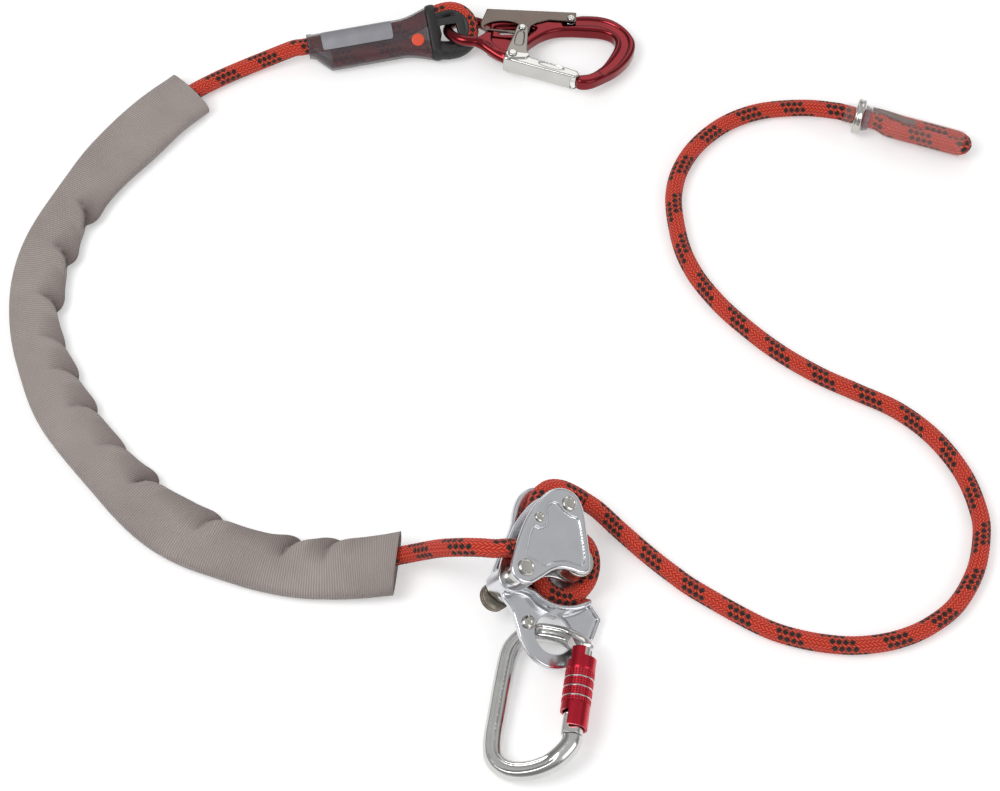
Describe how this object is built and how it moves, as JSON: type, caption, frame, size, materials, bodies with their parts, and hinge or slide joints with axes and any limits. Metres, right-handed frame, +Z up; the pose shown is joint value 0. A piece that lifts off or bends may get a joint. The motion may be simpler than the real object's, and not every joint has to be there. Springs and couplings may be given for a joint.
{
  "type": "adjustable positioning lanyard",
  "caption": "Rope lanyard with a locking hook on a sewn eye, a wear sleeve, a cam-type rope adjuster carrying a locking carabiner, and a free tail ending in a ring stop.",
  "frame": {"origin": "centre of the box of the hardware and sleeve, on the floor the lanyard lies on", "axes": "+X to the right of the picture, +Y away from the viewer, +Z up"},
  "size_m": [0.6122, 0.5463, 0.0595],
  "materials": {
    "rope_orange": "braided sheath, matt",
    "sleeve_taupe": "woven tubular fabric, matt",
    "anodised_red": "anodised, satin",
    "polished_steel": "polished",
    "machined_alloy": "polished",
    "lever_steel": "brushed",
    "black_plastic": "matt",
    "smoked_cover": "clear, smoked",
    "clear_cover": "clear, milky",
    "label_silver": "woven, matt",
    "stitch_thread": "twisted thread",
    "marker_orange": "matt"
  },
  "bodies": {
    "rope_and_adjuster": {"rope_eye": "rope_orange", "rope_span": "rope_orange", "rope_wrap": "rope_orange", "rope_tail": "rope_orange", "tail_fold": "rope_orange", "termination_cover": "smoked_cover", "eye_thimble": "black_plastic", "termination_label": "label_silver", "marker_dot": "marker_orange", "eye_stitching": "stitch_thread", "protective_sleeve": "sleeve_taupe", "cheek_front": "machined_alloy", "cheek_middle": "machined_alloy", "bobbin": "polished_steel", "top_spacer": "polished_steel", "top_rivet": "polished_steel", "guide_pin": "polished_steel", "axle": "polished_steel", "axle_spacer": "polished_steel", "rear_knob": "polished_steel", "stop_ring": "polished_steel", "stop_collar": "clear_cover", "cup_washer": "machined_alloy", "tail_cover": "clear_cover", "tail_stitching": "stitch_thread"},
    "hook": {"hook_body": "anodised_red", "hook_gate_rivet": "polished_steel", "hook_gate_spring": "polished_steel", "lever_rivet": "polished_steel", "lever_spring": "polished_steel"},
    "hook_gate_set": {"hook_gate": "polished_steel", "arm_pin": "polished_steel"},
    "hook_lever": {"lock_lever": "lever_steel"},
    "adjuster_frame": {"frame_plate": "machined_alloy", "captive_screw": "polished_steel"},
    "carabiner": {"carabiner_body": "polished_steel"},
    "carabiner_gate_set": {"carabiner_gate": "polished_steel", "gate_hinge_pin": "polished_steel"},
    "gate_guide": {"guide_ring": "polished_steel"},
    "gate_lock": {"lock_sleeve": "anodised_red"}
  },
  "joints": [
    {"name": "hook_swing", "type": "hinge", "parent": "rope_and_adjuster", "child": "hook", "pos_m": [-0.0326, 0.2555, 0.01375], "axis": [0.0505, -0.4287, 0.902], "range_deg": [-12, 12]},
    {"name": "hook_gate_pivot", "type": "hinge", "parent": "hook", "child": "hook_gate_set", "pos_m": [0.0084, 0.22962, 0.01443], "axis": [0.0638, 0.1276, 0.9898], "range_deg": [0, 25], "stiffness_Nm_per_rad": 0.12, "springref_deg": -20.05},
    {"name": "hook_lever_pivot", "type": "hinge", "parent": "hook", "child": "hook_lever", "pos_m": [0.04748, 0.26512, 0.00733], "axis": [0.0638, 0.1276, 0.9898], "range_deg": [0, 2.5], "stiffness_Nm_per_rad": 0.4, "springref_deg": -8.59},
    {"name": "frame_pivot", "type": "hinge", "parent": "rope_and_adjuster", "child": "adjuster_frame", "pos_m": [-0.0011, -0.1575, 0.0229], "axis": [-0.4514, 0.1031, -0.8864], "range_deg": [0, 14]},
    {"name": "carabiner_swing", "type": "hinge", "parent": "adjuster_frame", "child": "carabiner", "pos_m": [0.03086, -0.18462, 0.01452], "axis": [0.4514, -0.1031, 0.8864], "range_deg": [-30, 10]},
    {"name": "carabiner_gate_pivot", "type": "hinge", "parent": "carabiner", "child": "carabiner_gate_set", "pos_m": [0.04803, -0.19962, 0.01911], "axis": [0.252, -0.0072, -0.9677], "range_deg": [0, 22], "stiffness_Nm_per_rad": 0.15, "springref_deg": -20.05},
    {"name": "lock_slide", "type": "slide", "parent": "carabiner_gate_set", "child": "gate_guide", "axis": [0.143, 0.9893, 0.0299], "range_m": [0, 0.0025], "stiffness_N_per_m": 500, "springref_m": -0.003},
    {"name": "lock_twist", "type": "hinge", "parent": "gate_guide", "child": "gate_lock", "pos_m": [0.04803, -0.19962, 0.01911], "axis": [0.143, 0.9893, 0.0299], "range_deg": [0, 90], "stiffness_Nm_per_rad": 0.02, "springref_deg": -34.38}
  ]
}
